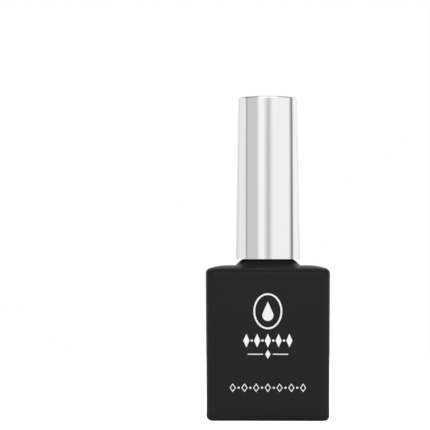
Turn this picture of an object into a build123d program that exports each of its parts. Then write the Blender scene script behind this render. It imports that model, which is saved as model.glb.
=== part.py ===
from build123d import *
import os
from math import asin, cos, radians, sin, tan

# Square nail polish bottle: a coated glass bottle, its screw closure under a bright overcap,
# the brush that the closure carries, and two mixing balls. Millimetres, +Z up. The origin is the
# centre of the base, and the printed face looks towards -Y.

# Glass bottle, outside
BODY_SIDE = 30.2  # plan side just under the shoulder
BODY_DRAFT_DEG = 0.36  # the sides draw in a little towards the base
EDGE_R = 2.2  # the four upright edges
BASE_EDGE_R = 1.2
SHOULDER_Z = 37.65  # flat top of the shoulder
SHOULDER_EDGE_R = 1.3  # tight arc where the side turns over
SHOULDER_CROWN_R = 11.0  # easy arc from there to the flat top
SHOULDER_BREAK_DEG = 20.0  # slope at which the one arc hands over to the other
SHOULDER_STEPS = 4  # stretches between the outlines that each arc is drawn through
PUSH_UP_R = 10.4  # shallow round recess in the base
PUSH_UP_DEPTH = 0.6

# Glass bottle, inside
WALL = 2.7
FLOOR_Z = 4.2
CAVITY_TOP_Z = 34.6
CAVITY_EDGE_R = 3.0
CAVITY_FILLET_R = 1.6

# Gel polish: 15 ml, drawn as one solid that leaves room for the brush and for the balls to travel
GEL_TOP_Z = 29.6
GEL_GAP = 0.05  # between the gel and the glass
GEL_WELL_R = 3.6
BALL_CHANNEL_R = 2.3

# Neck, a 13 mm finish
DOME_R = 8.05  # foot of the rounded rise from the shoulder to the neck
DOME_MID = (7.05, 38.67)
NECK_ROOT_R = 5.65
NECK_FOOT_Z = 39.46
NECK_CREST_R = 6.40
BORE_R = 3.6
RIM_Z = 50.0
RIM_ROUND = 0.5
BORE_ROUND = 0.4

# Screw thread: 12 threads per inch, one and a half turns
PITCH = 25.4 / 12
THREAD_TURNS = 1.5
THREAD_BASE_W = 1.25
THREAD_CREST_W = 0.5
THREAD_SUNK = 0.15  # the ridge starts this far inside the wall that it stands on
THREAD_START_DEG = 50.0  # where round the neck the ridges begin
THREAD_LEAD_DEG = 24.0  # over which they fade in and out
NECK_THREAD_Z = 45.6
CAP_THREAD_CREST_R = 6.45  # stands clear of the neck's crest
CAP_THREAD_ROOT_R = 6.85

# Overcap: a drawn shell, slightly tapered
CAP_MOUTH_Z = 39.2
CAP_TOP_Z = 79.5
CAP_MOUTH_R = 8.0
CAP_TOP_R = 7.3
CAP_WALL = 0.4
CAP_TOP_WALL = 0.6
CAP_TOP_ROUND = 0.35

# Inner cap
INNER_GAP = 0.03  # between the inner cap and the overcap
INNER_MOUTH_Z = 39.45
INNER_CEILING_Z = 53.6
BEAD_R = 5.3  # snap bead that holds the brush's flange
BEAD_LOW_Z = 50.86
BEAD_HIGH_Z = 51.18
SOCKET_R = 2.05
SOCKET_TOP_Z = 56.2
SOCKET_WALL = 1.0
POST_R = 5.0
POST_WALL = 0.9
POST_TOP_Z = 77.6
RIB_COUNT = 8
RIB_W = 0.8

# Seal liner
LINER_R = 5.5
LINER_BORE_R = 2.2
LINER_LOW_Z = 50.02
LINER_HIGH_Z = 50.80

# Brush
HUB_R = 5.2
HUB_LOW_Z = 50.82
FLANGE_R = 5.75
FLANGE_LOW_Z = 51.2
FLANGE_HIGH_Z = 52.2
PLUG_R = 2.0
PLUG_HIGH_Z = 55.6
FLANGE_GAP = 0.05  # the flange swivels in the inner cap
FLANGE_END_GAP = 0.02
STEM_TOP_R = 1.85
STEM_END_R = 1.65
STEM_END_Z = 24.0
TUFT_SOCKET_R = 1.25
TUFT_SOCKET_DEPTH = 2.8
TUFT_ROOT_DEPTH = 2.4
TUFT_BELLY_R = 1.75
TUFT_BELLY_Z = 16.0
TUFT_SHOULDER_R = 1.3
TUFT_SHOULDER_Z = 10.2
TUFT_TIP_Z = 8.8
STAPLE_W = 2.8
STAPLE_T = 0.3
STAPLE_H = 1.5
STAPLE_LOW_Z = 25.2

# Mixing balls
BALL_R = 2.0
BALL_GAP = 0.06  # under a ball, above the glass
BALL_PLACES = ((-9.3, -8.6), (9.3, 7.4))

# Print on the front face and label under the base
INK_T = 0.04
EMBLEM_Z = 26.6
EMBLEM_W = 7.0
EMBLEM_H = 8.7
EMBLEM_LINE = 0.42
DROP_R = 1.35
DROP_H = 4.7
UPPER_ROW_Z = 19.5
UPPER_ROW_W = 11.9
UPPER_DIAMONDS = 5
UPPER_DIAMOND_W = 1.5
UPPER_DIAMOND_H = 3.3
UPPER_DOT_R = 0.28
RULE_Z = 16.2
RULE_W = 9.8
RULE_T = 0.24
RULE_GAP = 0.55  # between the rule's two halves and the diamond in the middle
RULE_DIAMOND_W = 1.3
RULE_DIAMOND_H = 2.2
LOWER_ROW_Z = 8.1
LOWER_ROW_W = 18.5
LOWER_DIAMONDS = 7
LOWER_DIAMOND_W = 1.5
LOWER_DIAMOND_H = 2.1
LOWER_DIAMOND_LINE = 0.24
LOWER_DOT_R = 0.26
LABEL_R = 9.0
LABEL_T = 0.12


def rounded_square(side, radius, z):
    """A horizontal square with round corners at height z."""
    return Pos(0, 0, z) * RectangleRounded(side, side, radius)


def tube(outer_r, inner_r, low, high):
    """An upright tube between two heights."""
    ring = Circle(outer_r) - Circle(inner_r)
    return extrude(Pos(0, 0, low) * ring, high - low)


def disc(radius, low, high):
    """An upright cylinder between two heights."""
    return extrude(Pos(0, 0, low) * Circle(radius), high - low)


def cone(low_r, high_r, low, high):
    """An upright cone frustum between two heights."""
    return loft([Pos(0, 0, low) * Circle(low_r), Pos(0, 0, high) * Circle(high_r)])


def lead_cut(root_r, crest_r, angle, back, z):
    """A block that slopes a ridge's end, at an angle round the axis, down into the wall."""
    way = 1 if crest_r > root_r else -1
    foot = Vector(root_r - way * THREAD_SUNK, 0).rotate(Axis.Z, angle)
    top = Vector(crest_r, 0).rotate(Axis.Z, angle + back * THREAD_LEAD_DEG)
    slope = Plane(origin=foot + Vector(0, 0, z), x_dir=top - foot, z_dir=(0, 0, 1))
    away = Align.MIN if slope.y_dir.dot(foot) * way > 0 else Align.MAX
    reach = 2 * (top - foot).length
    return slope * Box(2 * reach, reach, PITCH, align=(Align.CENTER, away, Align.CENTER))


def helical_ridge(root_r, crest_r, start_z):
    """A screw thread's ridge from root_r to crest_r, outwards or inwards, that fades in and out."""
    way = 1 if crest_r > root_r else -1
    foot, top = -way * THREAD_SUNK, crest_r - root_r
    upper = [(top, THREAD_CREST_W / 2), (foot, THREAD_BASE_W / 2)]
    lower = [(x, -y) for x, y in reversed(upper)]
    outline = make_face(Polyline(*upper, *lower, close=True))
    rise = THREAD_TURNS * PITCH
    path = Pos(0, 0, start_z) * Helix(PITCH, rise, root_r)
    start = Plane(origin=path @ 0, x_dir=(1, 0, 0), z_dir=path % 0)
    ridge = sweep(start * outline, path=path, is_frenet=True)
    ridge -= lead_cut(root_r, crest_r, 0, 1, start_z)
    ridge -= lead_cut(root_r, crest_r, 360 * THREAD_TURNS, -1, start_z + rise)
    return Rot(0, 0, THREAD_START_DEG) * ridge


def tight_arc(turned):
    """(inset, rise) on the tight arc above the sides, after turning this many degrees."""
    angle = radians(turned)
    return SHOULDER_EDGE_R * (1 - cos(angle)), SHOULDER_EDGE_R * sin(angle)


def easy_arc(slope):
    """(inset, rise) on the easy arc, where the shoulder still slopes by this many degrees."""
    edge_inset, edge_rise = tight_arc(90 - SHOULDER_BREAK_DEG)
    first, here = radians(SHOULDER_BREAK_DEG), radians(slope)
    inset = edge_inset + SHOULDER_CROWN_R * (sin(first) - sin(here))
    return inset, edge_rise + SHOULDER_CROWN_R * (cos(here) - cos(first))


SIDE_TOP_Z = SHOULDER_Z - easy_arc(0)[1]  # where the shoulder's arcs start


def shoulder_section(inset, rise):
    """The shoulder's outline where it has drawn in by inset and risen by rise."""
    return rounded_square(BODY_SIDE - 2 * inset, EDGE_R, SIDE_TOP_Z + rise)


def bottle_body():
    """The solid outer shape of the square body, from the base to the flat of the shoulder."""
    sides = extrude(rounded_square(BODY_SIDE, EDGE_R, SIDE_TOP_Z), -SIDE_TOP_Z, taper=BODY_DRAFT_DEG)
    sides = fillet(sides.faces().sort_by(Axis.Z)[0].edges(), BASE_EDGE_R)
    shares = [step / SHOULDER_STEPS for step in range(SHOULDER_STEPS + 1)]
    tight_end = 90 - SHOULDER_BREAK_DEG
    edge = loft([shoulder_section(*tight_arc(share * tight_end)) for share in shares])
    crown = loft([shoulder_section(*easy_arc((1 - share) * SHOULDER_BREAK_DEG)) for share in shares])
    return sides + edge + crown


def neck_outside():
    """The dome that rises from the shoulder, and the plain neck above it."""
    foot = (DOME_R, SHOULDER_Z)
    with BuildPart() as neck:
        with BuildSketch(Plane.XZ):
            with BuildLine():
                Polyline((0, NECK_FOOT_Z), (0, SHOULDER_Z - 1), (DOME_R, SHOULDER_Z - 1), foot)
                ThreePointArc(foot, DOME_MID, (NECK_ROOT_R, NECK_FOOT_Z))
                Line((NECK_ROOT_R, NECK_FOOT_Z), (0, NECK_FOOT_Z))
            make_face()
        revolve(axis=Axis.Z)
    column = disc(NECK_ROOT_R, SHOULDER_Z, RIM_Z)
    column = fillet(column.faces().sort_by(Axis.Z)[-1].edges(), RIM_ROUND)
    return neck.part + column


def cavity(gap=0.0):
    """The hollow inside the body, or the space that keeps a gap from its walls."""
    low, high = FLOOR_Z + gap, CAVITY_TOP_Z - gap
    side = BODY_SIDE - 2 * (WALL + gap)
    space = extrude(rounded_square(side, CAVITY_EDGE_R, low), high - low)
    ends = space.faces().filter_by(Axis.Z)
    return fillet(ends[0].edges() + ends[-1].edges(), CAVITY_FILLET_R)


def glass_bottle():
    """Thick pressed glass: square body, domed shoulder, threaded neck, and the hollow inside."""
    glass = bottle_body() + neck_outside()
    glass += helical_ridge(NECK_ROOT_R, NECK_CREST_R, NECK_THREAD_Z)
    bore = disc(BORE_R, CAVITY_TOP_Z - 1, RIM_Z)
    mouth = cone(BORE_R, BORE_R + BORE_ROUND, RIM_Z - BORE_ROUND, RIM_Z)
    push_up = disc(PUSH_UP_R, 0, PUSH_UP_DEPTH)
    push_up = fillet(push_up.faces().sort_by(Axis.Z)[-1].edges(), PUSH_UP_DEPTH / 2)
    return glass - cavity() - bore - mouth - push_up


def gel_polish():
    """The bottle's contents, with a well for the brush and a channel for each ball."""
    side = BODY_SIDE
    above = Pos(0, 0, GEL_TOP_Z + side / 2) * Box(side, side, side)
    gel = cavity(GEL_GAP) - above - disc(GEL_WELL_R, 0, GEL_TOP_Z)
    for x, y in BALL_PLACES:
        gel -= Pos(x, y) * disc(BALL_CHANNEL_R, 0, GEL_TOP_Z)
    return gel


def cap_outer_r(z):
    """The overcap's outer radius at height z."""
    share = (z - CAP_MOUTH_Z) / (CAP_TOP_Z - CAP_MOUTH_Z)
    return CAP_MOUTH_R + share * (CAP_TOP_R - CAP_MOUTH_R)


def overcap():
    """The bright drawn shell that the fingers hold."""
    shell = cone(CAP_MOUTH_R, CAP_TOP_R, CAP_MOUTH_Z, CAP_TOP_Z)
    shell = fillet(shell.faces().sort_by(Axis.Z)[-1].edges(), CAP_TOP_ROUND)
    ceiling_z = CAP_TOP_Z - CAP_TOP_WALL
    hollow = cone(CAP_MOUTH_R - CAP_WALL, cap_outer_r(ceiling_z) - CAP_WALL, CAP_MOUTH_Z, ceiling_z)
    return shell - hollow


def inside_overcap(low, high):
    """The tapered space that the inner cap may fill between two heights."""
    clear = CAP_WALL + INNER_GAP
    return cone(cap_outer_r(low) - clear, cap_outer_r(high) - clear, low, high)


def inner_cap():
    """The moulded closure: threaded skirt, seat for the brush, and a ribbed post up the overcap."""
    closure = inside_overcap(INNER_MOUTH_Z, INNER_CEILING_Z)
    closure -= disc(CAP_THREAD_ROOT_R, INNER_MOUTH_Z, BEAD_LOW_Z)
    closure += helical_ridge(CAP_THREAD_ROOT_R, CAP_THREAD_CREST_R, NECK_THREAD_Z - PITCH / 2)
    closure -= disc(BEAD_R, BEAD_LOW_Z, BEAD_HIGH_Z)
    closure -= disc(FLANGE_R + FLANGE_GAP, BEAD_HIGH_Z, FLANGE_HIGH_Z + FLANGE_END_GAP)
    post = tube(POST_R, POST_R - POST_WALL, INNER_CEILING_Z, POST_TOP_Z)
    rib_height = POST_TOP_Z - INNER_CEILING_Z
    rib = Box(CAP_MOUTH_R, RIB_W, rib_height, align=(Align.MIN, Align.CENTER, Align.MIN))
    ribs = Part()
    for number in range(RIB_COUNT):
        turned = Rot(0, 0, 360 / RIB_COUNT * number)
        ribs += Pos(0, 0, INNER_CEILING_Z) * turned * Pos(POST_R - POST_WALL / 2, 0) * rib
    ribs = inside_overcap(INNER_CEILING_Z, POST_TOP_Z) & ribs
    socket = disc(SOCKET_R + SOCKET_WALL, FLANGE_HIGH_Z + FLANGE_END_GAP, SOCKET_TOP_Z)
    plug_space = disc(SOCKET_R, FLANGE_HIGH_Z, PLUG_HIGH_Z + FLANGE_END_GAP)
    return closure + post + ribs + socket - plug_space


def seal_liner():
    """The soft ring between the glass rim and the brush's hub."""
    ring = tube(LINER_R, LINER_BORE_R, LINER_LOW_Z, LINER_HIGH_Z)
    return fillet(ring.edges().filter_by(GeomType.CIRCLE), (LINER_HIGH_Z - LINER_LOW_Z) / 5)


def staple_box():
    """The space that the anchor staple fills."""
    return Pos(0, 0, STAPLE_LOW_Z + STAPLE_H / 2) * Box(STAPLE_W, STAPLE_T, STAPLE_H)


def brush_stem():
    """The moulded stem: plug, flange and hub at the top, and a socket for the tuft at its end."""
    stem = cone(STEM_END_R, STEM_TOP_R, STEM_END_Z, HUB_LOW_Z)
    stem = chamfer(stem.faces().sort_by(Axis.Z)[0].edges(), (STEM_END_R - TUFT_SOCKET_R) / 2)
    stem += disc(HUB_R, HUB_LOW_Z, FLANGE_LOW_Z)
    stem += disc(FLANGE_R, FLANGE_LOW_Z, FLANGE_HIGH_Z)
    plug = disc(PLUG_R, FLANGE_HIGH_Z, PLUG_HIGH_Z)
    stem += chamfer(plug.faces().sort_by(Axis.Z)[-1].edges(), PLUG_R / 5)
    stem -= disc(TUFT_SOCKET_R, STEM_END_Z, STEM_END_Z + TUFT_SOCKET_DEPTH)
    return stem - staple_box()


def brush_tuft():
    """The plain outer shape of the filaments: a root in the socket, a belly and a round tip."""
    root_z = STEM_END_Z + TUFT_ROOT_DEPTH
    collar = (TUFT_SOCKET_R, STEM_END_Z)
    belly = (TUFT_BELLY_R, TUFT_BELLY_Z)
    tip_shoulder = (TUFT_SHOULDER_R, TUFT_SHOULDER_Z)
    with BuildPart() as tuft:
        with BuildSketch(Plane.XZ):
            with BuildLine():
                Polyline((0, TUFT_TIP_Z), (0, root_z), (TUFT_SOCKET_R, root_z), collar)
                Spline(collar, belly, tip_shoulder, (0, TUFT_TIP_Z), tangents=[(0, -1), (-1, 0)])
            make_face()
        revolve(axis=Axis.Z)
    return tuft.part - staple_box()


def anchor_staple():
    """The flat metal staple that the filaments are folded over."""
    staple = staple_box()
    return chamfer(staple.edges().filter_by(Axis.Y), STAPLE_T / 2)


def mixing_ball(place):
    """A steel ball lying on the floor of the cavity."""
    return Pos(*place, FLOOR_Z + BALL_R + BALL_GAP) * Sphere(BALL_R)


def front_plane(z):
    """The front face's own plane at height z, facing out, with the draft of the sides."""
    draft = radians(BODY_DRAFT_DEG)
    y = (SIDE_TOP_Z - z) * tan(draft) - BODY_SIDE / 2
    return Plane(origin=(0, y, z), x_dir=(1, 0, 0), z_dir=(0, -cos(draft), -sin(draft)))


def emblem():
    """A polish drop in an oval ring."""
    ring = Ellipse(EMBLEM_W / 2, EMBLEM_H / 2)
    ring -= Ellipse(EMBLEM_W / 2 - EMBLEM_LINE, EMBLEM_H / 2 - EMBLEM_LINE)
    centre = DROP_R - DROP_H / 2
    touch = asin(DROP_R / (DROP_H - DROP_R))
    side = (DROP_R * cos(touch), centre + DROP_R * sin(touch))
    point = make_face(Polyline((-side[0], side[1]), side, (0, DROP_H / 2), close=True))
    return ring + Pos(0, centre) * Circle(DROP_R) + point


def diamond(width, height):
    """An upright diamond."""
    corners = ((0, height / 2), (width / 2, 0), (0, -height / 2), (-width / 2, 0))
    return make_face(Polyline(*corners, close=True))


def row(width, count, end_w, shape, dot_r):
    """Equal shapes spread over a width, with a dot between each two."""
    pitch = (width - end_w) / (count - 1)
    printed = Sketch()
    for number in range(count):
        printed += Pos(end_w / 2 - width / 2 + number * pitch, 0) * shape
    for number in range(count - 1):
        printed += Pos(end_w / 2 - width / 2 + (number + 0.5) * pitch, 0) * Circle(dot_r)
    return printed


def divided_rule():
    """A thin rule in two halves, with a diamond between them."""
    half_w = (RULE_W - RULE_DIAMOND_W) / 2 - RULE_GAP
    half = Rectangle(half_w, RULE_T)
    across = (RULE_W - half_w) / 2
    return Pos(-across, 0) * half + Pos(across, 0) * half + diamond(RULE_DIAMOND_W, RULE_DIAMOND_H)


def front_print():
    """One pass of pale ink on the front: an emblem, two rows of ornament and a rule."""
    solid = diamond(UPPER_DIAMOND_W, UPPER_DIAMOND_H)
    hollow = diamond(LOWER_DIAMOND_W, LOWER_DIAMOND_H)
    inner_share = 1 - 2 * LOWER_DIAMOND_LINE / LOWER_DIAMOND_W
    hollow -= diamond(LOWER_DIAMOND_W * inner_share, LOWER_DIAMOND_H * inner_share)
    upper_row = row(UPPER_ROW_W, UPPER_DIAMONDS, UPPER_DIAMOND_W, solid, UPPER_DOT_R)
    lower_row = row(LOWER_ROW_W, LOWER_DIAMONDS, LOWER_DIAMOND_W, hollow, LOWER_DOT_R)
    prints = extrude(front_plane(EMBLEM_Z) * emblem(), INK_T)
    prints += extrude(front_plane(UPPER_ROW_Z) * upper_row, INK_T)
    prints += extrude(front_plane(RULE_Z) * divided_rule(), INK_T)
    return prints + extrude(front_plane(LOWER_ROW_Z) * lower_row, INK_T)


def base_label():
    """A round shade sticker in the base's recess."""
    return disc(LABEL_R, PUSH_UP_DEPTH - LABEL_T, PUSH_UP_DEPTH)


def main():
    parts = {
        "glass_bottle": glass_bottle(),
        "gel_polish": gel_polish(),
        "front_print": front_print(),
        "base_label": base_label(),
        "overcap": overcap(),
        "inner_cap": inner_cap(),
        "seal_liner": seal_liner(),
        "brush_stem": brush_stem(),
        "brush_tuft": brush_tuft(),
        "anchor_staple": anchor_staple(),
    }
    for number, place in enumerate(BALL_PLACES, 1):
        parts[f"mixing_ball_{number}"] = mixing_ball(place)
    os.makedirs("parts", exist_ok=True)
    for name, part in parts.items():
        export_step(part, f"parts/{name}.step")


main()
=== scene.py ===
import math
import random

import bpy
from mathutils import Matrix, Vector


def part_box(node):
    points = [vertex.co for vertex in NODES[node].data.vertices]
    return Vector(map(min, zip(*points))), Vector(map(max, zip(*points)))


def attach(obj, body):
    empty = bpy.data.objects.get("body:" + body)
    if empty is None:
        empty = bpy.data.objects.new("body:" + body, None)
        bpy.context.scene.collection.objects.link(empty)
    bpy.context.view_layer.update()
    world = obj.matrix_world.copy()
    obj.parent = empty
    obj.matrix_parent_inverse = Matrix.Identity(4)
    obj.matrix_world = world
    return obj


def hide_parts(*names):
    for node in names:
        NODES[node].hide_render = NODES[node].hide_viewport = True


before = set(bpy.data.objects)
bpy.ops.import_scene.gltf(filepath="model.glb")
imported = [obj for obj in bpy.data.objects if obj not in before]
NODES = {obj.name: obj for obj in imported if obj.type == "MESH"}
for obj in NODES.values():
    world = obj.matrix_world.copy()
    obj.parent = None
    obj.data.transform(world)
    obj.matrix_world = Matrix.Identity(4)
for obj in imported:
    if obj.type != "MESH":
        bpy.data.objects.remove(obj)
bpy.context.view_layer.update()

# Nail polish bottle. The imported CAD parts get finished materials, and the soft and liquid parts
# are built here: the gel in the bottle, the brush's filaments, the gel that clings to the brush,
# and the foam seal. Lengths are in metres, and MM turns millimetres into metres. Pieces and
# materials give their sizes in millimetres.

MM = 0.001
SCENE = bpy.context.scene


# ------------------------------------------------------------------ nodes


def connect(tree, value, socket):
    """Sets a node's input to a number or a colour, or links it to another node's output."""
    if isinstance(value, bpy.types.NodeSocket):
        tree.links.new(value, socket)
    else:
        socket.default_value = value


def compute(tree, operation, *values):
    """A Math node's result."""
    node = tree.nodes.new("ShaderNodeMath")
    node.operation = operation
    for socket, value in zip(node.inputs, values):
        connect(tree, value, socket)
    return node.outputs[0]


def distance(tree, x, y):
    """The length of (x, y)."""
    squares = compute(tree, "ADD", compute(tree, "MULTIPLY", x, x), compute(tree, "MULTIPLY", y, y))
    return compute(tree, "SQRT", squares)


def spread(tree, value, low, high, to_low=0.0, to_high=1.0, smooth=False):
    """value, taken from the range low to high over to another, and held at its ends."""
    node = tree.nodes.new("ShaderNodeMapRange")
    node.interpolation_type = "SMOOTHSTEP" if smooth else "LINEAR"
    for socket, number in zip(node.inputs, (value, low, high, to_low, to_high)):
        connect(tree, number, socket)
    return node.outputs[0]


def band(tree, value, low, high, low_edge, high_edge):
    """1 from low to high, falling to 0 over the edges outside them."""
    rise = spread(tree, value, low - low_edge, low, smooth=True)
    fall = spread(tree, value, high, high + high_edge, 1.0, 0.0, smooth=True)
    return compute(tree, "MULTIPLY", rise, fall)


def blend_colors(tree, share, first, second):
    """first where share is 0, second where it is 1."""
    node = tree.nodes.new("ShaderNodeMix")
    node.data_type = "RGBA"
    connect(tree, share, node.inputs["Factor"])
    connect(tree, first, node.inputs[6])
    connect(tree, second, node.inputs[7])
    return node.outputs[2]


def color_ramp(tree, share, stops):
    """A colour ramp through (position, colour) stops."""
    node = tree.nodes.new("ShaderNodeValToRGB")
    elements = node.color_ramp.elements
    while len(elements) < len(stops):
        elements.new(0.5)
    for element, (position, color) in zip(elements, stops):
        element.position = position
        element.color = color
    connect(tree, share, node.inputs[0])
    return node.outputs["Color"]


def gray(level):
    return (level, level, level, 1.0)


# ------------------------------------------------------------------ studio

# What stands round the bottle and shows in its polished sides: (from, to, brightness), in degrees
# round from the camera, to the right if positive. Between two of them the light changes evenly.
CARDS = (
    (-180, -150, 0.75),  # rear wall
    (-130, -96, 0.88),  # left rear card
    (-88, -87, 0.36),  # gap beside it
    (-82, -42, 0.63),  # gray screen on the left
    (-31, -17, 0.97),  # left front card
    (1, 3, 0.55),  # opening for the camera
    (20, 88, 0.94),  # long card on the right
    (103, 106, 0.20),  # black flag
    (116, 150, 0.96),  # right rear card
    (175, 180, 0.75),  # rear wall
)
CARD_LOW_DEG = 0.5  # the cards' lower edge, as a height above the horizon
CARD_EDGE_DEG = 1.5  # over which that edge fades
CARD_MIDDLE_DEG = 4.3  # the height at which the cards' bearings above hold
CARD_LEAN = 0.022  # above it the bearings grow by this share for each degree
CARD_LEAN_TOP_DEG = 9.0
CARD_DIM_DEG = (9.0, 18.0)  # over these heights the cards fall off
CARD_UPPER_SHARE = 0.80  # to this share of their brightness

LOWER_CARDS_DEG = -9.0  # below this the cards' reflections in the table begin
LOWER_CARDS_EDGE_DEG = 2.0
GAP_SHARE = 0.65  # between the two, as a share of the cards' brightness
GAP_LEVEL = 0.40  # and round the camera
GAP_HALF_DEG = 34.0
GAP_EDGE_DEG = 10.0

FLAG_LOW_DEG = 20.0  # a black flag above the camera keeps the shoulder dark
FLAG_LOW_EDGE_DEG = 3.0
FLAG_HIGH_DEG = 44.0
FLAG_HIGH_EDGE_DEG = 4.0
FLAG_HALF_DEG = 115.0
FLAG_END_DEG = 15.0
FLAG_SHARE = 0.04  # the share of light that it lets through

SOFTBOX_LEVEL = 5.0  # a long low softbox above the camera
SOFTBOX_LOW_DEG = 11.5
SOFTBOX_HIGH_DEG = 17.5
SOFTBOX_EDGE_DEG = 2.0
SOFTBOX_HALF_DEG = 50.0

CEILING_LEVEL = 0.85
CEILING_RISE = (0.80, 0.97)  # it takes over between these upward shares of the direction
TENT_LEVEL = 1.30  # what matt surfaces are lit by from all round
TENT_TOP_LEVEL = 0.70  # and from overhead
TENT_RISE = (0.2, 0.9)


def cards_at(tree, bearing):
    """The cards' brightness at a bearing in degrees."""
    edges = [(edge, level) for start, end, level in CARDS for edge in (start, end)]
    stops = [(degrees / 360 + 0.5, gray(level)) for degrees, level in edges]
    return color_ramp(tree, spread(tree, bearing, -180, 180), stops)


def bearing_of(tree, x, y):
    """Degrees round from the camera, of a place or a direction."""
    return compute(tree, "DEGREES", compute(tree, "ARCTAN2", x, compute(tree, "MULTIPLY", y, -1.0)))


def leaning_cards(tree, bearing, height):
    """The cards at a bearing and a height in degrees, leaning outwards and dimmer high up."""
    past_middle = spread(
        tree, height, 0.0, CARD_LEAN_TOP_DEG, -CARD_MIDDLE_DEG, CARD_LEAN_TOP_DEG - CARD_MIDDLE_DEG
    )
    lean = compute(tree, "MULTIPLY_ADD", past_middle, CARD_LEAN, 1.0)
    cards = cards_at(tree, compute(tree, "DIVIDE", bearing, lean))
    dimmed = spread(tree, height, *CARD_DIM_DEG, 1.0, CARD_UPPER_SHARE, smooth=True)
    return compute(tree, "MULTIPLY", cards, dimmed)


def past_the_flag(tree, height, aside):
    """The share of light that comes past the black flag."""
    across = band(tree, height, FLAG_LOW_DEG, FLAG_HIGH_DEG, FLAG_LOW_EDGE_DEG, FLAG_HIGH_EDGE_DEG)
    ends = spread(tree, aside, FLAG_HALF_DEG, FLAG_HALF_DEG + FLAG_END_DEG, 1.0, 0.0, smooth=True)
    return spread(tree, compute(tree, "MULTIPLY", across, ends), 0.0, 1.0, 1.0, FLAG_SHARE)


def softbox(tree, height, aside):
    """The long softbox's brightness."""
    across = band(tree, height, SOFTBOX_LOW_DEG, SOFTBOX_HIGH_DEG, SOFTBOX_EDGE_DEG, SOFTBOX_EDGE_DEG)
    ends = spread(tree, aside, SOFTBOX_HALF_DEG / 2, SOFTBOX_HALF_DEG, SOFTBOX_LEVEL, 0.0, smooth=True)
    return compute(tree, "MULTIPLY", across, ends)


def reflected_studio(tree, x, y, z):
    """The brightness that polished surfaces reflect in each direction."""
    bearing = bearing_of(tree, x, y)
    aside = compute(tree, "ABSOLUTE", bearing)
    height = compute(tree, "DEGREES", compute(tree, "ARCSINE", z))
    cards = leaning_cards(tree, bearing, height)
    cards = compute(tree, "MULTIPLY", cards, past_the_flag(tree, height, aside))
    cards = compute(tree, "MAXIMUM", cards, softbox(tree, height, aside))
    above = spread(tree, height, CARD_LOW_DEG - CARD_EDGE_DEG, CARD_LOW_DEG, smooth=True)
    below = spread(
        tree, height, LOWER_CARDS_DEG, LOWER_CARDS_DEG + LOWER_CARDS_EDGE_DEG, 1.0, 0.0, smooth=True
    )
    off_camera = spread(tree, aside, GAP_HALF_DEG - GAP_EDGE_DEG, GAP_HALF_DEG, smooth=True)
    shaded = compute(tree, "MULTIPLY", cards, GAP_SHARE)
    gap = blend_colors(tree, off_camera, gray(GAP_LEVEL), shaded)
    sides = blend_colors(tree, compute(tree, "MAXIMUM", above, below), gap, cards)
    ceiling = spread(tree, z, *CEILING_RISE, smooth=True)
    return blend_colors(tree, ceiling, sides, gray(CEILING_LEVEL))


def make_world():
    """A white tent for matt surfaces, cards for polished ones, and plain white behind it all."""
    world = bpy.data.worlds.new("studio")
    SCENE.world = world
    world.use_nodes = True
    world.cycles.sampling_method = "NONE"
    tree = world.node_tree
    tree.nodes.clear()
    place = tree.nodes.new("ShaderNodeTexCoord")
    split = tree.nodes.new("ShaderNodeSeparateXYZ")
    tree.links.new(place.outputs["Generated"], split.inputs[0])
    path = tree.nodes.new("ShaderNodeLightPath")
    polished = reflected_studio(tree, *split.outputs)
    tent = spread(tree, split.outputs[2], *TENT_RISE, TENT_LEVEL, TENT_TOP_LEVEL, smooth=True)
    lit = blend_colors(tree, path.outputs["Is Diffuse Ray"], polished, tent)
    seen = blend_colors(tree, path.outputs["Is Camera Ray"], lit, gray(1.0))
    background = tree.nodes.new("ShaderNodeBackground")
    tree.links.new(seen, background.inputs["Color"])
    out = tree.nodes.new("ShaderNodeOutputWorld")
    tree.links.new(background.outputs[0], out.inputs[0])


# ------------------------------------------------------------------ floor and camera

FLOOR_RADIUS = 0.3
FLOOR_DROP = 0.02 * MM
FLOOR_SIDES = 96
FLOOR_WHITE = 0.80
FLOOR_GLOW = 0.75  # the table is lit a little from below, so that its shadows stay pale
FLOOR_FRONT_LEVEL = 0.40  # what polished surfaces see of it, towards the camera
FLOOR_FRONT_DEG = (20.0, 36.0)  # and the bearings over which that gives way to the cards' sheen
FLOOR_SHADE = 0.15  # close to the bottle they see this share of it
FLOOR_SHADE_REACH = (15 * MM, 45 * MM)


def mirrored_floor(tree):
    """What polished surfaces see in the table: the cards' sheen on it."""
    place = tree.nodes.new("ShaderNodeNewGeometry")
    split = tree.nodes.new("ShaderNodeSeparateXYZ")
    tree.links.new(place.outputs["Position"], split.inputs[0])
    x, y = split.outputs[0], split.outputs[1]
    bearing = bearing_of(tree, x, y)
    aside = spread(tree, compute(tree, "ABSOLUTE", bearing), *FLOOR_FRONT_DEG, smooth=True)
    sheen = blend_colors(tree, aside, gray(FLOOR_FRONT_LEVEL), cards_at(tree, bearing))
    out = spread(tree, distance(tree, x, y), *FLOOR_SHADE_REACH, FLOOR_SHADE, 1.0, smooth=True)
    return compute(tree, "MULTIPLY", sheen, out)


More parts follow.
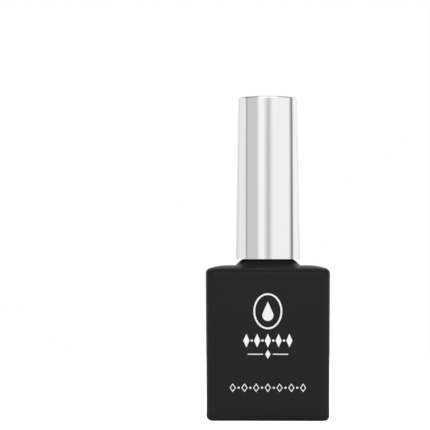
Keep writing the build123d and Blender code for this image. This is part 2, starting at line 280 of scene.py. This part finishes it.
def make_floor():
    """A pale round table top."""
    turns = [2 * math.pi * number / FLOOR_SIDES for number in range(FLOOR_SIDES)]
    rim = [(FLOOR_RADIUS * math.cos(a), FLOOR_RADIUS * math.sin(a), -FLOOR_DROP) for a in turns]
    mesh = bpy.data.meshes.new("floor")
    mesh.from_pydata(rim, [], [tuple(range(FLOOR_SIDES))])
    floor = bpy.data.objects.new("floor", mesh)
    SCENE.collection.objects.link(floor)
    material = bpy.data.materials.new("pale_table")
    material.use_nodes = True
    tree = material.node_tree
    shader = tree.nodes["Principled BSDF"]
    path = tree.nodes.new("ShaderNodeLightPath")
    mirrored = path.outputs["Is Glossy Ray"]
    tone = blend_colors(tree, mirrored, gray(FLOOR_WHITE), gray(0.0))
    glow = blend_colors(tree, mirrored, gray(FLOOR_GLOW), mirrored_floor(tree))
    tree.links.new(tone, shader.inputs["Base Color"])
    tree.links.new(glow, shader.inputs["Emission Color"])
    shader.inputs["Emission Strength"].default_value = 1.0
    shader.inputs["Roughness"].default_value = 1.0
    shader.inputs["Specular IOR Level"].default_value = 0.0
    mesh.materials.append(material)


CAMERA_DISTANCE = 0.49  # from the bottle's axis
EYE_HEIGHT = 39.5 * MM
SENSOR_WIDTH = 36.0
FOCAL_PER_FRAME = 4.558  # focal length over the frame's width
AXIS_SHARE = 0.1228  # how far right of the frame's middle the axis stands, in frame widths
EYE_LINE_SHARE = 0.0998  # how far below the frame's middle the eye level lies
CLIP_START = 0.01


def make_camera():
    """In front of the bottle, level with its shoulder."""
    camera = bpy.data.objects.new("camera", bpy.data.cameras.new("camera"))
    SCENE.collection.objects.link(camera)
    camera.data.sensor_width = SENSOR_WIDTH
    camera.data.lens = SENSOR_WIDTH * FOCAL_PER_FRAME
    camera.data.clip_start = CLIP_START
    yaw = math.atan(AXIS_SHARE / FOCAL_PER_FRAME)
    pitch = math.atan(EYE_LINE_SHARE / FOCAL_PER_FRAME)
    camera.location = (0, -CAMERA_DISTANCE, EYE_HEIGHT)
    camera.rotation_euler = (math.pi / 2 + pitch, 0, yaw)
    SCENE.camera = camera


# ------------------------------------------------------------------ materials


class Finish:
    """A material with one Principled shader. Sizes are the real size of the detail, in mm."""

    def __init__(self, name, color, roughness, **constants):
        self.material = bpy.data.materials.new(name)
        self.material.use_nodes = True
        self.tree = self.material.node_tree
        self.shader = self.tree.nodes["Principled BSDF"]
        self.shader.inputs["Base Color"].default_value = (*color, 1.0)
        self.shader.inputs["Roughness"].default_value = roughness
        for socket, value in constants.items():
            self.shader.inputs[socket.replace("_", " ")].default_value = value
        self.place = self.tree.nodes.new("ShaderNodeTexCoord").outputs["Object"]
        self.normal = None

    def noise(self, size, detail=2.0, stretch=(1, 1, 1), place=None):
        """Noise from 0 to 1 whose spots are about this many mm across."""
        mapping = self.tree.nodes.new("ShaderNodeMapping")
        mapping.inputs["Scale"].default_value = stretch
        self.tree.links.new(place or self.place, mapping.inputs["Vector"])
        node = self.tree.nodes.new("ShaderNodeTexNoise")
        node.inputs["Scale"].default_value = 1 / (size * MM)
        node.inputs["Detail"].default_value = detail
        self.tree.links.new(mapping.outputs[0], node.inputs["Vector"])
        return node.outputs["Fac"]

    def cells(self, size):
        """The distance from the middle of round cells about this many mm across."""
        node = self.tree.nodes.new("ShaderNodeTexVoronoi")
        node.inputs["Scale"].default_value = 1 / (size * MM)
        self.tree.links.new(self.place, node.inputs["Vector"])
        return node.outputs["Distance"]

    def axes(self):
        """The place's x, y and z, in metres."""
        split = self.tree.nodes.new("ShaderNodeSeparateXYZ")
        self.tree.links.new(self.place, split.inputs[0])
        return split.outputs[0], split.outputs[1], split.outputs[2]

    def rings(self, out, size):
        """Noise in rings round the axis, out from it."""
        along = self.tree.nodes.new("ShaderNodeCombineXYZ")
        self.tree.links.new(out, along.inputs[0])
        return self.noise(size, place=along.outputs[0])

    def set(self, socket, value):
        connect(self.tree, value, self.shader.inputs[socket])

    def tint(self, share, first, second):
        """Colours the surface from first, where share is 0, to second."""
        self.set("Base Color", blend_colors(self.tree, share, (*first, 1), (*second, 1)))

    def relief(self, height, depth):
        """Raises the surface by height, 0 to 1, times a depth in mm."""
        node = self.tree.nodes.new("ShaderNodeBump")
        node.inputs["Distance"].default_value = depth * MM
        self.tree.links.new(height, node.inputs["Height"])
        if self.normal:
            self.tree.links.new(self.normal, node.inputs["Normal"])
        self.normal = node.outputs[0]
        self.tree.links.new(self.normal, self.shader.inputs["Normal"])

    def spread(self, *values, **options):
        return spread(self.tree, *values, **options)

    def compute(self, operation, *values):
        return compute(self.tree, operation, *values)

    def distance(self, x, y):
        return distance(self.tree, x, y)


PAINTED_NECK_LIGHT_Z = (37.9 * MM, 38.6 * MM)  # where the shoulder's coat gives way to the painted light on the neck
# painted light: the coat on the neck is a lighter gray, standing in for light on the band under the
# cap
PAINTED_NECK_LIGHT = gray(0.030)
COAT_DARK = gray(0.0108)
COAT_LIGHT = gray(0.0138)


def soft_touch_black():
    """A matt black sprayed coat: fine grain, faint orange peel, and painted light: a lighter gray on
    the neck, under the cap.
    """
    finish = Finish("soft_touch_black", (0.0095, 0.0095, 0.0097), 0.30, Specular_IOR_Level=0.12)
    painted_light_share = finish.spread(finish.axes()[2], *PAINTED_NECK_LIGHT_Z, smooth=True)
    handled = finish.spread(finish.noise(9.0, 3.0), 0.42, 0.62)
    grain = finish.noise(0.09, 1.0)
    black = blend_colors(finish.tree, finish.spread(grain, 0.3, 0.7), COAT_DARK, COAT_LIGHT)
    # painted light: the coat turns a lighter gray on the neck, between the heights above
    finish.set("Base Color", blend_colors(finish.tree, painted_light_share, black, PAINTED_NECK_LIGHT))
    rough = finish.compute("MULTIPLY_ADD", handled, -0.04, 0.30)
    finish.set("Roughness", finish.compute("MULTIPLY_ADD", grain, 0.05, rough))
    finish.relief(finish.noise(1.6, 1.0), 0.003)
    finish.relief(grain, 0.0030)
    return finish.material


def bare_glass():
    """Clear pressed glass, inside the coat."""
    finish = Finish("bare_glass", (0.93, 0.95, 0.95), 0.03, Transmission_Weight=1.0, IOR=1.52)
    finish.relief(finish.noise(3.0, 1.0), 0.01)
    return finish.material


def silver_ink():
    """Screen-printed silver ink, with its fine flake and the screen's grain."""
    finish = Finish("silver_ink", (0.74, 0.74, 0.75), 0.38, Metallic=0.15, Specular_IOR_Level=0.5)
    flake = finish.noise(0.06)
    patches = finish.noise(1.2)
    tone = finish.spread(finish.compute("ADD", flake, patches), 0.6, 1.4)
    finish.tint(tone, (0.70, 0.70, 0.71), (0.79, 0.79, 0.795))
    finish.set("Roughness", finish.spread(flake, 0.3, 0.7, 0.30, 0.46))
    finish.relief(flake, 0.003)
    return finish.material


CAP_FLAT_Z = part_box("overcap")[1].z - 0.02 * MM  # the cap's flat top begins here
CAP_FLAT_EDGE = 0.05 * MM


def bright_aluminium():
    """Drawn and polished aluminium: faint draw lines up the sides, turned rings on the flat top."""
    finish = Finish("bright_aluminium", (0.915, 0.915, 0.918), 0.07, Metallic=1.0)
    x, y, z = finish.axes()
    draw = finish.noise(0.25, stretch=(1, 1, 0.01))
    rings = finish.rings(finish.distance(x, y), 0.16)
    on_top = finish.spread(z, CAP_FLAT_Z - CAP_FLAT_EDGE, CAP_FLAT_Z)
    lines = blend_colors(finish.tree, on_top, draw, rings)
    haze = finish.spread(finish.noise(7.0, 3.0), 0.40, 0.65)
    rough = finish.spread(lines, 0.3, 0.7, 0.055, 0.075)
    rough = finish.compute("MULTIPLY_ADD", on_top, 0.05, rough)
    finish.set("Roughness", finish.compute("MULTIPLY_ADD", haze, 0.02, rough))
    finish.relief(draw, 0.00002)
    finish.relief(finish.compute("MULTIPLY", rings, on_top), 0.0003)
    return finish.material


def moulded_black():
    """Black moulded polypropylene, with the fine even texture of its mould."""
    finish = Finish("moulded_black", (0.016, 0.016, 0.017), 0.45, Specular_IOR_Level=0.5)
    texture = finish.noise(0.18, 1.0)
    flow = finish.noise(2.5, stretch=(1, 1, 0.3))
    finish.tint(finish.spread(flow, 0.35, 0.65), (0.013, 0.013, 0.014), (0.020, 0.020, 0.021))
    finish.set("Roughness", finish.spread(texture, 0.3, 0.7, 0.38, 0.52))
    finish.relief(texture, 0.006)
    return finish.material


def glossy_stem():
    """Smooth black polyethylene, with faint flow lines along the stem."""
    finish = Finish("glossy_stem", (0.018, 0.018, 0.019), 0.26, Specular_IOR_Level=0.5)
    lines = finish.noise(0.35, stretch=(1, 1, 0.06))
    finish.set("Roughness", finish.spread(lines, 0.3, 0.7, 0.22, 0.32))
    finish.relief(lines, 0.003)
    return finish.material


def closed_cell_foam():
    """White closed-cell polyethylene foam: small round cells under a soft skin."""
    finish = Finish("closed_cell_foam", (0.86, 0.86, 0.84), 0.62, Specular_IOR_Level=0.35)
    cells = finish.cells(0.16)
    finish.tint(finish.spread(cells, 0.0, 0.5), (0.80, 0.80, 0.78), (0.89, 0.89, 0.87))
    finish.set("Roughness", finish.spread(finish.noise(0.5), 0.3, 0.7, 0.55, 0.70))
    finish.relief(cells, 0.02)
    return finish.material


def nickel_silver():
    """Flat nickel silver wire, with its draw lines."""
    finish = Finish("nickel_silver", (0.72, 0.69, 0.62), 0.24, Metallic=1.0)
    lines = finish.noise(0.12, stretch=(0.04, 1, 1))
    finish.set("Roughness", finish.spread(lines, 0.3, 0.7, 0.18, 0.32))
    finish.relief(lines, 0.002)
    return finish.material


def rolled_steel():
    """A polished steel ball, with the fine crossed scratches of tumbling."""
    finish = Finish("rolled_steel", (0.60, 0.60, 0.62), 0.14, Metallic=1.0)
    one_way = finish.noise(0.10, stretch=(1, 0.05, 0.4))
    other_way = finish.noise(0.10, stretch=(0.05, 1, 0.6))
    scratches = finish.compute("MULTIPLY", one_way, other_way)
    finish.set("Roughness", finish.spread(scratches, 0.15, 0.35, 0.10, 0.22))
    finish.relief(scratches, 0.0015)
    return finish.material


GEL_COLOR = (0.972, 0.296, 0.275)
GEL_SHADE = (0.905, 0.235, 0.215)


def coral_gel():
    """Thick glossy coral gel: creamy pigment in slow streaks, under a wet skin."""
    finish = Finish("coral_gel", GEL_COLOR, 0.07, Specular_IOR_Level=0.5, IOR=1.49)
    streaks = finish.noise(5.0, 4.0, stretch=(1, 1, 0.35))
    finish.tint(finish.spread(streaks, 0.35, 0.65), GEL_SHADE, GEL_COLOR)
    finish.set("Roughness", finish.spread(finish.noise(1.5), 0.3, 0.7, 0.05, 0.10))
    finish.relief(finish.noise(3.0, 1.0), 0.02)
    return finish.material


def wet_nylon():
    """Fine nylon filaments, wetted through with coral gel."""
    finish = Finish("wet_nylon", (0.88, 0.30, 0.27), 0.24, Specular_IOR_Level=0.5)
    tone = finish.spread(finish.noise(0.30, stretch=(1, 1, 0.10)), 0.35, 0.65)
    finish.tint(tone, (0.74, 0.20, 0.18), (0.95, 0.40, 0.36))
    finish.set("Roughness", finish.spread(finish.noise(0.2, 1.0), 0.3, 0.7, 0.18, 0.34))
    finish.relief(finish.noise(0.05, 1.0, stretch=(1, 1, 0.3)), 0.004)
    return finish.material


LABEL_SWATCH_R = 4.4
LABEL_CIRCLE_R = 8.2
LABEL_LINE = 0.22
LABEL_DOTS_R = 6.4
LABEL_DOT_COUNT = 28
LABEL_DOT_R = 0.24
LABEL_SOFT = 0.03  # half the width over which a printed edge fades
LABEL_INK = (0.36, 0.36, 0.37, 1)
PAPER_DARK = (0.84, 0.84, 0.83, 1)
PAPER_LIGHT = (0.90, 0.90, 0.89, 1)


def shade_label():
    """A satin sticker: a disc of the shade, a ring of dots and a fine circle."""
    finish = Finish("shade_label", (0.88, 0.88, 0.87), 0.36, Specular_IOR_Level=0.45)
    x, y, _ = finish.axes()
    out = finish.compute("MULTIPLY", finish.distance(x, y), 1 / MM)
    half_step = math.pi / LABEL_DOT_COUNT
    off_dot = finish.compute("PINGPONG", finish.compute("ARCTAN2", y, x), half_step)
    along = finish.compute("MULTIPLY", off_dot, LABEL_DOTS_R)
    to_dot = finish.distance(along, finish.compute("SUBTRACT", out, LABEL_DOTS_R))
    off_circle = finish.compute("ABSOLUTE", finish.compute("SUBTRACT", out, LABEL_CIRCLE_R))

    def inside(reach, edge):
        return finish.spread(reach, edge - LABEL_SOFT, edge + LABEL_SOFT, 1.0, 0.0)

    fibre = finish.noise(0.25, 3.0)
    paper = blend_colors(finish.tree, finish.spread(fibre, 0.3, 0.7), PAPER_DARK, PAPER_LIGHT)
    color = blend_colors(finish.tree, inside(out, LABEL_SWATCH_R), paper, (*GEL_COLOR, 1))
    in_circle = inside(off_circle, LABEL_LINE / 2)
    printed = finish.compute("MAXIMUM", inside(to_dot, LABEL_DOT_R), in_circle)
    finish.set("Base Color", blend_colors(finish.tree, printed, color, LABEL_INK))
    finish.set("Roughness", finish.spread(fibre, 0.3, 0.7, 0.30, 0.44))
    finish.relief(fibre, 0.004)
    return finish.material


def dress(node, *materials):
    """Gives a CAD node its materials. Its faces take the first."""
    mesh = NODES[node].data
    mesh.materials.clear()
    for material in materials:
        mesh.materials.append(material)


# Faces with their middle inside these are bare glass.
BORE_R = 4.05 * MM
BORE_LOW_Z = 30 * MM
HOLLOW_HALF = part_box("gel_polish")[1].x + 0.2 * MM
HOLLOW_Z = (4.1 * MM, 34.7 * MM)


def coat_the_bottle():
    """The coat outside, and bare glass on the bore, the hollow and the rim's flat."""
    dress("glass_bottle", soft_touch_black(), bare_glass())
    for face in NODES["glass_bottle"].data.polygons:
        x, y, z = face.center
        in_bore = math.hypot(x, y) < BORE_R and z > BORE_LOW_Z
        in_hollow = max(abs(x), abs(y)) < HOLLOW_HALF and HOLLOW_Z[0] < z < HOLLOW_Z[1]
        face.material_index = 1 if in_bore or in_hollow else 0


# ------------------------------------------------------------------ pieces


def make_piece(name, points, faces, material):
    """A smooth mesh from points in mm."""
    mesh = bpy.data.meshes.new(name)
    mesh.from_pydata([tuple(c * MM for c in point) for point in points], [], faces)
    mesh.polygons.foreach_set("use_smooth", [True] * len(mesh.polygons))
    mesh.materials.append(material)
    piece = bpy.data.objects.new(name, mesh)
    SCENE.collection.objects.link(piece)
    return piece


def skin(rings, points, faces):
    """Adds a closed skin over rings of equal count, the first and the last closed by one face.

    Each ring runs anticlockwise as seen from the last ring's side, so that faces look out.
    """
    first, count = len(points), len(rings[0])
    for ring in rings:
        points.extend(ring)
    for level in range(len(rings) - 1):
        low = first + level * count
        for step in range(count):
            after = (step + 1) % count
            faces.append((low + step, low + after, low + count + after, low + count + step))
    faces.append(tuple(range(first + count - 1, first - 1, -1)))
    last = first + (len(rings) - 1) * count
    faces.append(tuple(range(last, last + count)))


def circle(radius, z, count, centre=(0.0, 0.0)):
    """A level ring of points."""
    turns = [2 * math.pi * step / count for step in range(count)]
    return [(centre[0] + radius * math.cos(a), centre[1] + radius * math.sin(a), z) for a in turns]


def square_ring(half, corner, z, per_corner=9, per_side=10):
    """A level square with round corners, as a ring of points."""
    points = []
    for quarter in range(4):
        turned = quarter * math.pi / 2
        cos_t, sin_t = math.cos(turned), math.sin(turned)
        run = half - corner
        local = [(half, -run + 2 * run * step / per_side) for step in range(per_side)]
        for step in range(per_corner):
            angle = step / per_corner * math.pi / 2
            local.append((run + corner * math.cos(angle), run + corner * math.sin(angle)))
        points += [(x * cos_t - y * sin_t, x * sin_t + y * cos_t, z) for x, y in local]
    return points


GEL_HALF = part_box("gel_polish")[1].x / MM
GEL_LOW = 4.25
GEL_CORNER_R = 2.95
GEL_FLOOR_SHARES = (0.12, 0.5, 0.85)  # the rings on its foot, as shares of the flat's width
GEL_FLOOR_CORNER = 0.22  # and the corners there, as a share of the ring's half width
GEL_FOOT_R = 1.55  # its rounding onto the glass floor
GEL_FOOT_STEPS = 6
GEL_FOOT_SQUARING = 0.5  # how much of the inset the corners there lose
GEL_SIDE_HEIGHTS = range(8, 30, 3)
GEL_LEVEL = 29.50
GEL_CLIMB = 0.50  # how far it climbs the glass
GEL_CLIMB_REACH = 0.9  # the distance from the glass in which that falls off to a third
GEL_INSETS = (0.0, 0.06, 0.15, 0.3, 0.5, 0.8, 1.2, 1.8, 2.6, 3.8, 5.5, 7.5, 9.5, 11.0)
GEL_CORNER_CLOSING = 0.3  # how much of the inset the corners on its surface lose
GEL_LEAST_CORNER_R = 0.9
GEL_INNER_INSET = 9  # past this the rings on its surface keep their shape
GEL_INNER_CORNER = 0.3  # with this share of their half width as the corner's radius
BUBBLE_SEED = 7
BUBBLE_COUNT = 14
BUBBLE_OUT = (3.0, 10.5)  # from the axis
BUBBLE_R = (0.12, 0.30)
BUBBLE_SIDES = 14
BUBBLE_RISES = (-0.5, 0, 0.4, 0.8, 1.2, 1.5)  # the dome's rings, in radians up from its widest


def gel_rings():
    """The gel's outline from the middle of its foot, out, up the glass and in over its surface."""
    rings = []
    for share in GEL_FLOOR_SHARES:
        half = (GEL_HALF - GEL_FOOT_R) * share
        rings.append(square_ring(half, half * GEL_FLOOR_CORNER, GEL_LOW))
    for step in range(GEL_FOOT_STEPS + 1):
        angle = step / GEL_FOOT_STEPS * math.pi / 2
        inset = GEL_FOOT_R * (1 - math.sin(angle))
        height = GEL_LOW + GEL_FOOT_R * (1 - math.cos(angle))
        rings.append(square_ring(GEL_HALF - inset, GEL_CORNER_R - inset * GEL_FOOT_SQUARING, height))
    for height in GEL_SIDE_HEIGHTS:
        rings.append(square_ring(GEL_HALF, GEL_CORNER_R, height))
    for inset in GEL_INSETS:
        half = GEL_HALF - inset
        corner = max(GEL_CORNER_R - inset * GEL_CORNER_CLOSING, GEL_LEAST_CORNER_R)
        if inset >= GEL_INNER_INSET:
            corner = GEL_INNER_CORNER * half
        climb = GEL_CLIMB * math.exp(-inset / GEL_CLIMB_REACH)
        rings.append(square_ring(half, corner, GEL_LEVEL + climb))
    return rings


def add_bubbles(points, faces):
    """Small domes on the gel's surface."""
    chance = random.Random(BUBBLE_SEED)
    for _ in range(BUBBLE_COUNT):
        angle = chance.uniform(0, 2 * math.pi)
        out = chance.uniform(*BUBBLE_OUT)
        size = chance.uniform(*BUBBLE_R)
        centre = (out * math.cos(angle), out * math.sin(angle))
        dome = []
        for rise in BUBBLE_RISES:
            height = GEL_LEVEL + size * math.sin(rise)
            dome.append(circle(size * math.cos(rise), height, BUBBLE_SIDES, centre))
        skin(dome, points, faces)


def gel_liquid(material):
    """The liquid in the bottle, which climbs a little where it wets the glass."""
    points, faces = [], []
    skin(gel_rings(), points, faces)
    add_bubbles(points, faces)
    piece = make_piece("gel_liquid", points, faces, material)
    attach(piece, "root")
    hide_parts("gel_polish")


# The tuft's outline, as (height, radius) from the stem's socket down to the widest part and in.
TUFT_PROFILE = (
    (26.35, 1.13),
    (24.0, 1.15),
    (22.0, 1.30),
    (19.5, 1.52),
    (16.0, 1.66),
    (13.0, 1.58),
    (10.2, 1.24),
)
TUFT_TOP = TUFT_PROFILE[0][0]
TUFT_END = 8.85
TUFT_ROUNDING = 1.35  # how much shorter the outermost filaments are
TUFT_ROUNDING_POWER = 2.4
TUFT_UNEVEN = 0.35  # how much shorter any of them may be
FILAMENT_SEED = 11
FILAMENT_COUNT = 340
FILAMENT_R = 0.052
FILAMENT_SIDES = 6
FILAMENT_STATIONS = (0, 0.02, 0.06, 0.14, 0.25, 0.38, 0.52, 0.68, 0.84, 1)
FILAMENT_SWAY = 0.05  # how far round the brush its end may stray, in radians
FILAMENT_TIP = 0.35  # its end, as a share of its thickness
FILAMENT_TAPER = 2.5
GOLDEN_TURN = math.pi * (3 - math.sqrt(5))


def tuft_radius(z):
    """The tuft's radius at height z."""
    for (high, wide), (low, narrow) in zip(TUFT_PROFILE, TUFT_PROFILE[1:]):
        if z >= low:
            share = (min(z, high) - low) / (high - low)
            return narrow + (wide - narrow) * share
    return TUFT_PROFILE[-1][1]


def filament_rings(out, turn, end, sway):
    """One filament's rings, up from its end. out is 0 on the brush's axis and 1 at its outside."""
    rings = []
    for share in FILAMENT_STATIONS:
        height = end + (TUFT_TOP - end) * share
        down = (TUFT_TOP - height) / (TUFT_TOP - end)
        place = out * (tuft_radius(height) - FILAMENT_R)
        angle = turn + sway * down**2
        taper = min(1.0, FILAMENT_TIP + (height - end) / FILAMENT_TAPER)
        centre = (place * math.cos(angle), place * math.sin(angle))
        rings.append(circle(FILAMENT_R * taper, height, FILAMENT_SIDES, centre))
    return rings


def brush_filaments(material):
    """Some hundreds of tapered nylon filaments, set in the stem and cut to a rounded tip."""
    chance = random.Random(FILAMENT_SEED)
    points, faces = [], []
    for number in range(FILAMENT_COUNT):
        out = math.sqrt((number + 0.5) / FILAMENT_COUNT)
        shorter = TUFT_ROUNDING * out**TUFT_ROUNDING_POWER
        end = TUFT_END + shorter + chance.uniform(0, TUFT_UNEVEN)
        sway = chance.uniform(-FILAMENT_SWAY, FILAMENT_SWAY)
        skin(filament_rings(out, number * GOLDEN_TURN, end, sway), points, faces)
    piece = make_piece("brush_filaments", points, faces, material)
    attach(piece, "brush")
    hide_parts("brush_tuft")


# The gel on the brush: (height, radius, how far it follows the waves) up from its low end, and
# the waves round its upper edge: (count, size, where they start in radians).
STEM_COAT = (
    (22.6, 1.20, 0.3),
    (22.75, 1.40, 0.3),
    (23.2, 1.58, 0.3),
    (23.9, 1.74, 0.1),
    (24.8, 1.80, 0),
    (26.0, 1.79, 0),
    (27.2, 1.80, 0),
    (28.2, 1.81, 0.5),
    (28.9, 1.80, 1),
    (29.15, 1.765, 1),
    (29.25, 1.70, 1),
    (29.25, 1.50, 1),
)
STEM_WAVES = ((2, 0.35, 0.4), (3, 0.22, 2.1), (7, 0.06, 1.0))
TIP_BEAD = (
    (8.35, 0.12, 0),
    (8.38, 0.35, 0),
    (8.52, 0.68, 0),
    (8.85, 1.05, 0),
    (9.4, 1.36, 0),
    (10.2, 1.60, 0),
    (11.2, 1.76, 0.05),
    (12.3, 1.83, 0.2),
    (13.3, 1.83, 0.6),
    (14.1, 1.79, 1),
    (14.5, 1.745, 1),
    (14.62, 1.68, 1),
    (14.6, 1.50, 1),
)
BEAD_WAVES = ((2, 0.50, 1.2), (3, 0.30, 0.2), (5, 0.16, 2.4))
COAT_SIDES = 72


def wavy(angle, waves):
    """A sum of slow waves round the brush."""
    return sum(size * math.sin(count * angle + start) for count, size, start in waves)


def gel_on_the_brush(name, stations, waves, material):
    """A coat of gel round the brush, through its stations."""
    turns = [2 * math.pi * step / COAT_SIDES for step in range(COAT_SIDES)]
    rings = []
    for z, r, share in stations:
        rings.append([(r * math.cos(a), r * math.sin(a), z + share * wavy(a, waves)) for a in turns])
    points, faces = [], []
    skin(rings, points, faces)
    piece = make_piece(name, points, faces, material)
    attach(piece, "brush")


SEAL_SEED = 5
SEAL_SIDES = 120
SEAL_INNER_R = 2.22
SEAL_LAND = (4.05, 5.12)  # where the glass rim presses into it
SEAL_ROUGH = 0.006


def seal_section():
    """The seal's section, as (radius, height) points from the top of its inner edge outwards.

    It is flat on top, under the hub. Below, it is pressed in by the glass rim and swollen on both
    sides of it.
    """
    low, high = (corner.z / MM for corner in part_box("seal_liner"))
    inner, outer = SEAL_INNER_R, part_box("seal_liner")[1].x / MM
    land_start, land_end = SEAL_LAND
    top = [(inner, high - 0.12), (inner + 0.03, high - 0.04), (inner + 0.12, high)]
    top += [(3.0, high), (4.0, high), (5.0, high), (outer - 0.12, high)]
    top += [(outer - 0.03, high - 0.04), (outer, high - 0.13)]
    outside = [(outer, low + 0.12), (outer - 0.03, low + 0.03), (outer - 0.12, low - 0.01)]
    outside += [(5.24, low - 0.005)]
    pressed = [(land_end, low + 0.005), (4.9, low + 0.01), (4.6, low + 0.01), (4.3, low + 0.01)]
    pressed += [(land_start, low + 0.005)]
    swollen = [(3.93, low - 0.04), (3.7, low - 0.09), (3.3, low - 0.11), (2.8, low - 0.10)]
    swollen += [(2.45, low - 0.05), (inner + 0.06, low + 0.04), (inner, low + 0.14)]
    swollen += [(inner - 0.02, (low + high) / 2)]
    return top + outside + pressed + swollen


def foam_seal(material):
    """The foam ring between the hub and the glass rim."""
    section = seal_section()
    count = len(section)
    chance = random.Random(SEAL_SEED)
    points, faces = [], []
    for step in range(SEAL_SIDES):
        angle = 2 * math.pi * step / SEAL_SIDES
        for r, z in section:
            rough = chance.uniform(-SEAL_ROUGH, SEAL_ROUGH)
            points.append(((r + rough) * math.cos(angle), (r + rough) * math.sin(angle), z))
    for step in range(SEAL_SIDES):
        here, after = step * count, (step + 1) % SEAL_SIDES * count
        for corner in range(count):
            beside = (corner + 1) % count
            faces.append((here + corner, here + beside, after + beside, after + corner))
    piece = make_piece("foam_seal", points, faces, material)
    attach(piece, "liner")
    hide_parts("seal_liner")


# ------------------------------------------------------------------ the scene

make_camera()
SCENE.view_settings.view_transform = "Standard"
make_world()
make_floor()

coat_the_bottle()
dress("front_print", silver_ink())
dress("overcap", bright_aluminium())
dress("base_label", shade_label())
dress("inner_cap", moulded_black())
dress("brush_stem", glossy_stem())
dress("anchor_staple", nickel_silver())
steel = rolled_steel()
dress("mixing_ball_1", steel)
dress("mixing_ball_2", steel)

gel = coral_gel()
gel_liquid(gel)
brush_filaments(wet_nylon())
gel_on_the_brush("gel_on_stem", STEM_COAT, STEM_WAVES, gel)
gel_on_the_brush("gel_at_tip", TIP_BEAD, BEAD_WAVES, gel)
foam_seal(closed_cell_foam())
